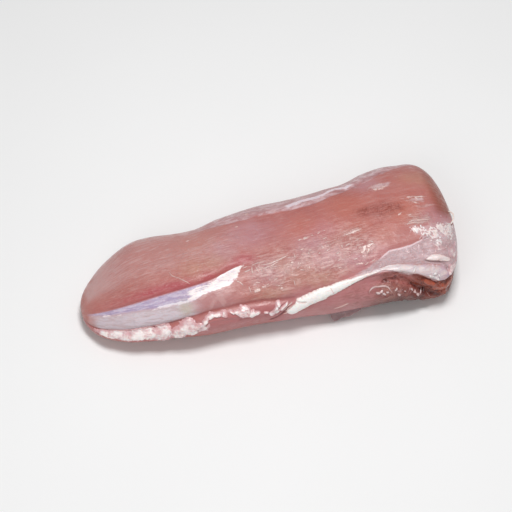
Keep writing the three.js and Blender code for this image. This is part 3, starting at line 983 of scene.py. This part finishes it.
# lobes round the crack at the thick end
HEAD_LOBES = (
    (106, 148.6, 2.6, 2.8), (108.6, 152, 2.0, 2.2), (107.6, 160.6, 2.8, 2.1),
    (104.6, 159.8, 2.6, 1.7, 30), (103.4, 162.4, 2.0, 1.4, 20), (110.4, 157, 1.6, 1.8),
    (110, 146, 1.6, 2.6),
)
# the torn net of film between them and the muscle, and the white lace above it
HEAD_NET = (
    (93, 133, 5, 3.2, 30), (98.5, 139, 5, 4.4, 30), (102.5, 144.5, 4, 4, 20),
    (96.5, 143.2, 6, 2.4), (107, 139, 3, 5), (89.5, 146.2, 3.6, 1.0),
)
HEAD_SMEAR = (
    (88, 121, 4.4, 2.4, 10), (91.6, 126, 4.2, 2.8, 30), (97, 126.5, 5.0, 3.2, 10),
    (103, 123.6, 4.6, 3.0, -5), (108.6, 121.6, 3.4, 3.0), (97.4, 132.6, 4.6, 3.4, 20),
    (106, 130.4, 4.4, 4.2),
)
# smears of film on the muscle, each group a patch, partly painted highlights standing for wet glints
FILM_AND_GLINTS = (
    ((70.4, 55, 1.8, 0.9), (73.6, 55.8, 2.4, 1.0), (76, 54.4, 1.4, 0.7)),
    (
        (52.4, 131, 2.4, 1.0, -42), (55, 132.4, 2.2, 0.9, -54), (56.2, 127.2, 2.8, 1.0, -14),
        (53.6, 127.8, 1.6, 0.8, -20),
    ),
    ((48.6, 142.2, 2.2, 0.6), (46.4, 142.4, 1.2, 0.5)),
    ((50.6, 107.3, 4.2, 0.8, -8), (46, 109.0, 2.6, 0.5, -10)),
    (
        (17.6, 100.4, 1.6, 0.5), (21.6, 100.2, 2.2, 0.8), (25.6, 99, 1.2, 0.4, -10),
        (29.6, 97.5, 1.2, 0.4, -10), (33, 96.3, 1.0, 0.4),
    ),
    (
        (88.5, 75.6, 2.4, 0.6), (92, 79, 2.4, 0.5, 65), (90.4, 85.4, 2.4, 0.6, 20),
        (94.6, 77, 3.6, 0.6),
    ),
    ((79.3, 97.8, 1.5, 0.6, -40), (85, 100.8, 1.4, 0.5)),
    ((-9, 145, 1.6, 0.8), (-13.3, 146.9, 2.2, 0.9)),
)
# shreds in and under the torn hollow, and the brightest bits of them, which are partly painted
# highlights standing for wet glints
SHREDS = (
    (57.5, 169.4, 5, 2.6), (67, 170, 7, 3.4, 10), (75, 173.6, 6, 3.0, 30), (83, 179, 5, 2.4, 35),
    (89, 184.6, 3.5, 1.4, 40),
)
BRIGHT_SHREDS_AND_GLINTS = (
    (56.2, 169, 1.3, 0.8, 20), (58.2, 168.2, 1.2, 0.6, -25), (59.8, 170.6, 1.2, 0.7, 30),
    (61.8, 169.5, 1.1, 0.5), (69.2, 174.2, 1.5, 0.9, 20), (67.4, 169.1, 1.1, 0.5, -40),
    (73, 172.4, 1.2, 0.5, 40), (80.1, 176.6, 1.2, 0.7, 20), (82, 179.1, 1.5, 0.6, 35),
    (84.6, 179.4, 1.1, 0.5, -40), (78.2, 173.8, 1.1, 0.6, 30),
)
# painted highlights: white lobes on the fold of fat standing for wet glints
FOLD_GLINTS = (
    (92.0, 163.2, 2.8, 1.1, 25), (94.2, 164.4, 1.8, 0.8, 30), (92.6, 159.6, 2.2, 0.8, -20),
    (79.4, 153.9, 2.0, 0.5, -35), (89.6, 161.0, 1.6, 0.7, 20), (95.2, 161.6, 1.2, 0.6, 50),
)
# the bulge of raw flesh under the fold's end
END_FLESH = (
    (90, 170, 7, 2.8, 32), (96, 174, 7, 4.8, 32), (101.5, 180, 6.4, 6.4, 30), (105, 177, 5, 7),
)
# dots of film on the muscle, partly painted highlights standing for small wet glints: x, angle, half
# length, half width, tilt
DOTS_AND_GLINTS = (
    (21, 99.4, 1.1, 0.6, 0), (17.4, 114, 1.4, 0.5, -10), (18.9, 135.5, 0.9, 0.6, 0),
    (0.6, 149.3, 1.0, 0.7, 0), (21.8, 117.6, 1.1, 0.4, 0), (32.3, 106.8, 1.6, 0.35, -10),
    (9.8, 126.6, 0.9, 0.6, 0), (-46, 55, 1.3, 0.5, -10), (-8, 39, 1.1, 0.6, 0),
    (-16, 55, 1.0, 0.5, 0), (-69, 24, 2.0, 0.6, 0), (37.4, 128, 1.0, 0.5, 0),
    (27, 124, 0.9, 0.5, 0),
)
# Named strands of film, partly painted highlights standing for wet glints: knots of x, angle and half
# width
STRANDS_AND_GLINTS = (
    ((-9, 121.8, 0.2), (-3.2, 122.4, 0.35), (2.1, 120.8, 0.45), (8.6, 117.4, 0.3)),
    ((-6.9, 126.1, 0.25), (-3.2, 125.4, 0.4), (2.5, 122.6, 0.3)),
    ((-13.4, 121.0, 0.2), (-14.0, 125, 0.4), (-13.7, 129.8, 0.25)),
    ((-11.4, 121.6, 0.2), (-10.8, 126, 0.35), (-10.4, 130, 0.2)),
    ((-8.6, 124.6, 0.2), (-8.4, 128, 0.3), (-8.8, 131.4, 0.2)),
    ((-13.4, 119.6, 0.2), (-9.5, 118.6, 0.3), (-5.5, 118.8, 0.2)),
    ((-24.2, 133.6, 0.3), (-22, 136.4, 0.4), (-20.8, 139.8, 0.25)),
    (
        (-61.4, 100.5, 0.12), (-60.1, 108.2, 0.24), (-57.0, 113.6, 0.16), (-53.5, 120.3, 0.22),
        (-50.6, 125.6, 0.12),
    ),
    ((82.4, 110.6, 0.2), (85.8, 108.9, 0.45), (90, 109.6, 0.5), (96.2, 110.9, 0.25)),
    ((80.6, 111.6, 0.2), (86, 112.0, 0.4), (94.6, 113.5, 0.25)),
    ((29.6, 179.6, 0.3), (34, 177.2, 0.6), (38.8, 174.8, 0.5)),
    ((0.4, 170.6, 0.2), (3.4, 167.4, 0.45), (7.0, 164.8, 0.35)),
    ((-0.8, 168.6, 0.15), (2.6, 165.6, 0.4), (5.6, 163, 0.3)),
    ((-0.6, 172.6, 0.2), (2.6, 171.2, 0.4), (6.6, 169.6, 0.35)),
)
# where short loose strands lie, partly painted highlights: x range, angle range, how many, share that
# lie across
STRAND_AND_GLINT_AREAS = (
    ((-18, 24), (120, 148), 30, 0.3), ((24, 60), (112, 144), 14, 0.2),
    ((84, 104), (98, 118), 5, 0.2),
)


class MeatSettings(PropertyGroup):
    ring_count: IntProperty(
        name="Rings", description="Sections along the meat", default=318, min=40, max=600
    )
    row_density: FloatProperty(
        name="Row density", description="Rows round the meat, as a share of 308",
        default=1.0, min=0.1, max=2.0,
    )
    muscle_light: FloatVectorProperty(
        name="Light muscle", description="Pale pink of the raw muscle",
        default=srgb(189, 121, 115)[:3], subtype="COLOR", min=0, max=1,
    )
    muscle_dark: FloatVectorProperty(
        name="Dark muscle", description="Redder pink between the fibre bundles",
        default=srgb(176, 104, 99)[:3], subtype="COLOR", min=0, max=1,
    )
    muscle_deep: FloatVectorProperty(
        name="Fibre lines", description="Colour of the fine lines between fibres",
        default=srgb(146, 74, 68)[:3], subtype="COLOR", min=0, max=1,
    )
    blood: FloatVectorProperty(
        name="Blood", description="Dark red in the grooves and the torn hollow",
        default=srgb(112, 44, 42)[:3], subtype="COLOR", min=0, max=1,
    )
    fat: FloatVectorProperty(
        name="Fat", description="White of fat and tendon",
        default=srgb(248, 238, 236)[:3], subtype="COLOR", min=0, max=1,
    )


class StageSettings(PropertyGroup):
    floor: FloatVectorProperty(
        name="Floor", description="Pale floor under the meat",
        default=(0.92, 0.92, 0.92), subtype="COLOR", min=0, max=1,
    )
    key: FloatProperty(
        name="Key light", description="Power of the light overhead", default=6.0, unit="POWER"
    )
    fill: FloatProperty(
        name="Fill light", description="Power of the light in front", default=2.6, unit="POWER"
    )
    sky: FloatProperty(name="Surround", description="Brightness of the surround", default=0.26)
    azimuth: FloatProperty(
        name="Azimuth", description="Camera's bearing",
        default=math.radians(-13.25), subtype="ANGLE",
    )
    elevation: FloatProperty(
        name="Elevation", description="Camera's height angle",
        default=math.radians(56.27), subtype="ANGLE",
    )
    distance: FloatProperty(
        name="Distance", description="From the camera to its target", default=0.8772, unit="LENGTH"
    )
    lens: FloatProperty(name="Lens", description="Focal length in millimetres", default=107.0)


class TENDERLOIN_OT_meat(Operator):
    """Make the meat's surface with its seams, silverskin, hollow and fibres"""

    bl_idname = "tenderloin.meat"
    bl_label = "Meat"

    def execute(self, context):
        look = context.scene.tenderloin_meat
        x, s = rings(look.ring_count)
        x, s = x[1:-1], s[1:-1]
        counts = [max(2, round(n * look.row_density)) for n in (16, 40, 100, 48, 22, 30, 40, 12)]
        deg = row_angles(x, counts)
        area = Section(x[:, None], deg)
        place = area.points()
        tips = [(p, float(core_y(p)), float(core_z(p))) for p in (TAIL_X, HEAD_X)]
        surface, fields = area.points(fine_relief(area, place)), meat_fields(area, place)
        shape = Shape(surface, tips, grain=grain_of(s[:, None], area), **fields)
        piece = shape.piece("tenderloin_meat", muscle_finish(look, fields))
        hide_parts("tenderloin")
        return {"FINISHED"}


class TENDERLOIN_OT_tendon(Operator):
    """Make the white tendon and the fold of fat that it runs into"""

    bl_idname = "tenderloin.tendon"
    bl_label = "Tendon"

    def execute(self, context):
        def crack(area):
            """The crack along the tendon's left end, and the fold line across it."""
            lengthwise = dip(area.past(tendon_crack), 0.34) * between(area.x, 6.6, 14.5, 2)
            across = dip(area.x - 28.8 - 0.28 * (area.deg - 156.9), 0.32)
            return np.maximum(lengthwise, 0.5 * across * between(area.deg, 156, 162.4, 1))

        def dull(area):
            return 0.7 * smooth(area.x, 41, 50)

        height = through((1, 8, 20, 40, 50, 60), (0.6, 0.9, 0.9, 0.7, 0.5, 0.4))
        shape = ribbon(tendon_top, tendon_low, 1.2, 60, height, uneven=0.2, crack=crack, tint=dull)
        finish = fat_finish("tendon", srgb(222, 190, 186), srgb(254, 248, 244), srgb(228, 206, 202))
        shape.piece("tendon", finish)
        height = through((50, 60, 66, 75, 90, 99, 104), (0.4, 0.5, 0.6, 0.9, 1.3, 1.2, 0.5))
        fold = ribbon(
            fold_top, fold_low, 50, 103.6, height, columns=44, uneven=0.16, shade=0.7,
            tint=lambda area: 0.15 + 0.3 * smooth(area.x, 80, 88) + 0.4 * smooth(area.x, 95, 101),
        )
        # painted highlights: bright lobes standing for wet glints on the fold
        glint = dict(uneven=0.6, tint=-0.9, steps=16, columns=12)
        shapes = [fold, *(lobe(*place, 2.1, **glint) for place in FOLD_GLINTS)]
        finish = fat_finish(
            "fat_fold", srgb(190, 144, 142), srgb(232, 218, 218), srgb(196, 168, 182)
        )
        Shape.joined(shapes).piece("fat_fold", finish)
        return {"FINISHED"}


class TENDERLOIN_OT_fat(Operator):
    """Make the fat along the chain muscle, and the folds and raw flesh at the head"""

    bl_idname = "tenderloin.fat"
    bl_label = "Fat"

    def execute(self, context):
        look = context.scene.tenderloin_meat
        shapes = [
            ribbon(
                head_fold_top, head_fold_low, 87, 104.6, 0.9,
                columns=24, uneven=0.25, shade=0.4,
            ),
            field_of(HEAD_LOBES, growth(HEAD_LOBES, 1.2, 0.3, 1.3, 0.4, 0.6)),
            field_of(HEAD_NET, net(HEAD_NET, 0.35, 2.1, 0.35, 0.3)),
            field_of(HEAD_SMEAR, growth(HEAD_SMEAR, 0.24, 1.8, 0.9, 0.6, -0.05), 0.25),
        ]
        finish = fat_finish(
            "head_fat", srgb(204, 162, 164), srgb(244, 226, 224), srgb(206, 168, 174)
        )
        Shape.joined(shapes).piece("head_folds", finish)
        flesh = field_of(END_FLESH, growth(END_FLESH, 1.3, 0.6, 1.8, 0.6, 0.1))
        finish = fat_finish("raw_end", srgb(124, 52, 38), srgb(180, 86, 60), srgb(136, 58, 42))
        flesh.piece("end_flesh", finish)
        x = np.arange(-112, 5.2, 0.42)
        rise = growth(CHAIN_FAT, 1.0, 0.65, 1.5, 0.5, 0.35)
        chain = patch(x, groove(x) - 2, np.minimum(groove(x) + 27, 191), 66, rise)
        finish = fat_finish(
            "chain_fat", srgb(212, 160, 162), opaque(look.fat), srgb(216, 174, 178)
        )
        chain.piece("chain_fat", finish)
        return {"FINISHED"}


class TENDERLOIN_OT_film(Operator):
    """Make the loose strands of film on the muscle, partly painted highlights, and the shreds in the
    hollow
    """

    bl_idname = "tenderloin.film"
    bl_label = "Film"

    def execute(self, context):
        rolled = (
            (51, 169, 0.2), (51.2, 167, 0.35), (53, 164.8, 0.5), (55.5, 164.2, 0.55),
            (59.1, 164.7, 0.5), (62.6, 166.2, 0.45), (63.9, 168.4, 0.3), (65.4, 171.7, 0.2),
        )
        shapes = [laid(rolled, 0.5, steps=60, columns=12, uneven=0.8, tint=0.5)]
        shapes.append(field_of(SHREDS, net(SHREDS, 0.3, 1.7, 0.0, 0.5), 0.28))
        # bright shreds, partly painted highlights
        bright = growth(BRIGHT_SHREDS_AND_GLINTS, 0.5, 0.6, 0.6, 0.5, -0.4)
        shapes.append(field_of(BRIGHT_SHREDS_AND_GLINTS, bright, 0.28))
        finish = fat_finish("shreds", srgb(158, 106, 102), srgb(218, 190, 188), srgb(178, 132, 130))
        Shape.joined(shapes).piece("hollow_shreds", finish)
        shapes = [laid(knots, 0.2, steps=40, columns=8, uneven=0.6, tint=0.35) for knots in STRANDS_AND_GLINTS]
        shapes += [lobe(*place, 0.2, steps=14, columns=12, uneven=0.9, tint=0.4) for place in DOTS_AND_GLINTS]
        shapes += [
            field_of(places, growth(places, 0.14, 0.9, 0.6, 0.5, 0.1), 0.25) for places in FILM_AND_GLINTS
        ]
        random = np.random.default_rng(21)
        for x_range, deg_range, count, across in STRAND_AND_GLINT_AREAS:
            for _ in range(count):
                x, deg = random.uniform(*x_range), random.uniform(*deg_range)
                tilt = random.normal(84, 12) if random.random() < across else random.normal(-6, 14)
                length, width = random.uniform(0.6, 2.0), random.uniform(0.2, 0.36)
                height, tint = random.uniform(0.05, 0.12), random.uniform(0.2, 0.8)
                loose = dict(steps=10, columns=6, uneven=0.8, tint=tint)
                shapes.append(lobe(x, deg, length, width, tilt, height, **loose))
        # the strands, dots and smears of film, partly painted highlights
        finish = fat_finish(
            "film_strands_and_glints", srgb(200, 148, 142), srgb(226, 196, 190), srgb(206, 162, 156)
        )
        Shape.joined(shapes).piece("film_strands_and_glints", finish)
        return {"FINISHED"}


class TENDERLOIN_OT_scrap(Operator):
    """Make the loose scrap of membrane at the near flank and the loop of film at the head"""

    bl_idname = "tenderloin.scrap"
    bl_label = "Scrap and loop"

    def execute(self, context):
        # the scrap: u runs along the flank, and an angle round the sheet's edge, from its top
        # in the meat down the outside to the free edge and back up the inside
        free_edge = through(
            (27.8, 29, 30.2, 31.4, 34, 38.5, 43, 47.4), (13, 6, 2.6, 0.9, 1.3, 3, 5.8, 9.5)
        )
        start, length, top, face, half_thick = 27.8, 19.6, 13, -39.9, 0.3
        u = np.linspace(0, 1, 60)[1:-1, None]
        angle = np.linspace(0, 2 * np.pi, 48, endpoint=False)
        down = (1 - np.cos(angle)) / 2
        x = start + length * u + 0 * down
        z = top + (free_edge(x) - top) * down
        fold = 0.5 * np.sin(7 * u + 2 * down) * down + 0.25 * np.sin(17 * u - 3 * down) * down
        y = face - 1.9 * down**1.5 - fold - half_thick * np.sin(angle)
        rows = np.stack(np.broadcast_arrays(x, y, z), -1)
        crest = 0.35 + 0.65 * smooth(np.abs(down - 0.97), 0.12, 0.0)
        fields = dict(crest=crest + 0 * u, tint=0.5 + 0 * x, grain=np.stack([x, y, z], -1))
        tips = rows[0].mean(axis=0), rows[-1].mean(axis=0)
        finish = fat_finish(
            "thin_membrane", srgb(132, 100, 104), srgb(172, 140, 142), srgb(146, 104, 104)
        )
        Shape(rows, tips, **fields).piece("membrane_scrap", finish)
        # the loop: a thin round thread whose path bows off the end of the meat
        bow, thick = 2.6, 0.42
        t = np.linspace(0, 1, 40)
        base = Section(110.8 - 0.8 * t, 93 + 25 * t).points()
        path = base + np.array([1.0, 0.1, 0.3]) * bow * np.sin(np.pi * t)[:, None] ** 0.7
        ahead = np.gradient(path, axis=0)
        ahead /= np.linalg.norm(ahead, axis=1, keepdims=True)
        side = np.cross(ahead, (1.0, 0.0, 0.0))
        side /= np.linalg.norm(side, axis=1, keepdims=True)
        lift = np.cross(ahead, side)
        turn = np.linspace(0, 2 * np.pi, 10, endpoint=False)[None, :, None]
        rows = path[:, None] + thick * (np.cos(turn) * side[:, None] + np.sin(turn) * lift[:, None])
        crest = np.full(rows.shape[:2], 0.8)
        fields = dict(crest=crest, tint=0 * crest, grain=rows)
        finish = fat_finish(
            "film_loop", srgb(214, 190, 180), srgb(240, 226, 218), srgb(220, 190, 180)
        )
        Shape(rows, (path[0], path[-1]), **fields).piece("membrane_loop", finish)
        return {"FINISHED"}


class TENDERLOIN_OT_stage(Operator):
    """Make the floor, the lights and the camera"""

    bl_idname = "tenderloin.stage"
    bl_label = "Stage"

    def execute(self, context):
        look = context.scene.tenderloin_stage
        scene = context.scene
        f = Finish("pale_floor")
        darker = opaque(0.96 * v for v in look.floor)
        shade = f.mix(opaque(look.floor), darker, f.noise(f.place(), 6, 2))
        material = f.close(Base_Color=shade, Roughness=0.8)
        mesh = bpy.data.meshes.new("floor")
        side, level = 4.0, -0.0003
        square = ((-1, -1), (1, -1), (1, 1), (-1, 1))
        corners = [(side * x, side * y, level) for x, y in square]
        mesh.from_pydata(corners, [], [(0, 1, 2, 3)])
        mesh.materials.append(material)
        floor = bpy.data.objects.new("floor", mesh)
        scene.collection.objects.link(floor)

        def softbox(name, position, size, power):
            data = bpy.data.lights.new(name, "AREA")
            data.size, data.energy = size, power
            lamp = bpy.data.objects.new(name, data)
            lamp.location = position
            aim = Vector((0, 0, 0.02)) - Vector(position)
            lamp.rotation_euler = aim.to_track_quat("-Z", "Y").to_euler()
            scene.collection.objects.link(lamp)

        softbox("key_light", (0.06, -0.02, 0.95), 0.26, look.key)
        softbox("fill_light", (-0.55, -0.75, 0.75), 0.7, look.fill)
        world = scene.world or bpy.data.worlds.new("surround")
        scene.world = world
        world.use_nodes = True
        background = world.node_tree.nodes["Background"]
        background.inputs["Color"].default_value = (1, 1, 1, 1)
        background.inputs["Strength"].default_value = look.sky

        a, e = look.azimuth, look.elevation
        back = Vector((math.sin(a) * math.cos(e), -math.cos(a) * math.cos(e), math.sin(e)))
        right = Vector((math.cos(a), math.sin(a), 0))
        up = back.cross(right)
        data = bpy.data.cameras.new("camera")
        data.lens, data.sensor_width = look.lens, 36
        data.clip_start, data.clip_end = 0.05, 20
        camera = bpy.data.objects.new("camera", data)
        target = Vector((-0.0113, -0.0175, 0.0504))
        turn = Matrix((right, up, back)).transposed().to_4x4()
        camera.matrix_world = Matrix.Translation(target + back * look.distance) @ turn
        scene.collection.objects.link(camera)
        scene.camera = camera
        scene.view_settings.view_transform = "Standard"
        return {"FINISHED"}


STEPS = (
    TENDERLOIN_OT_meat, TENDERLOIN_OT_tendon, TENDERLOIN_OT_fat,
    TENDERLOIN_OT_film, TENDERLOIN_OT_scrap, TENDERLOIN_OT_stage,
)


class TENDERLOIN_PT_panel(Panel):
    """The steps that make the tenderloin"""

    bl_idname = "TENDERLOIN_PT_panel"
    bl_label = "Tenderloin"
    bl_space_type = "VIEW_3D"
    bl_region_type = "UI"
    bl_category = "Tenderloin"

    def draw(self, context):
        for step in STEPS:
            self.layout.operator(step.bl_idname)
        for group in (context.scene.tenderloin_meat, context.scene.tenderloin_stage):
            for key in group.__annotations__:
                self.layout.prop(group, key)


CLASSES = (MeatSettings, StageSettings, *STEPS, TENDERLOIN_PT_panel)


def register():
    for kind in CLASSES:
        bpy.utils.register_class(kind)
    bpy.types.Scene.tenderloin_meat = PointerProperty(type=MeatSettings)
    bpy.types.Scene.tenderloin_stage = PointerProperty(type=StageSettings)


def unregister():
    del bpy.types.Scene.tenderloin_stage
    del bpy.types.Scene.tenderloin_meat
    for kind in reversed(CLASSES):
        bpy.utils.unregister_class(kind)


def main():
    register()
    bpy.ops.tenderloin.meat()
    bpy.ops.tenderloin.tendon()
    bpy.ops.tenderloin.fat()
    bpy.ops.tenderloin.film()
    bpy.ops.tenderloin.scrap()
    bpy.ops.tenderloin.stage()


if __name__ == "__main__":
    main()
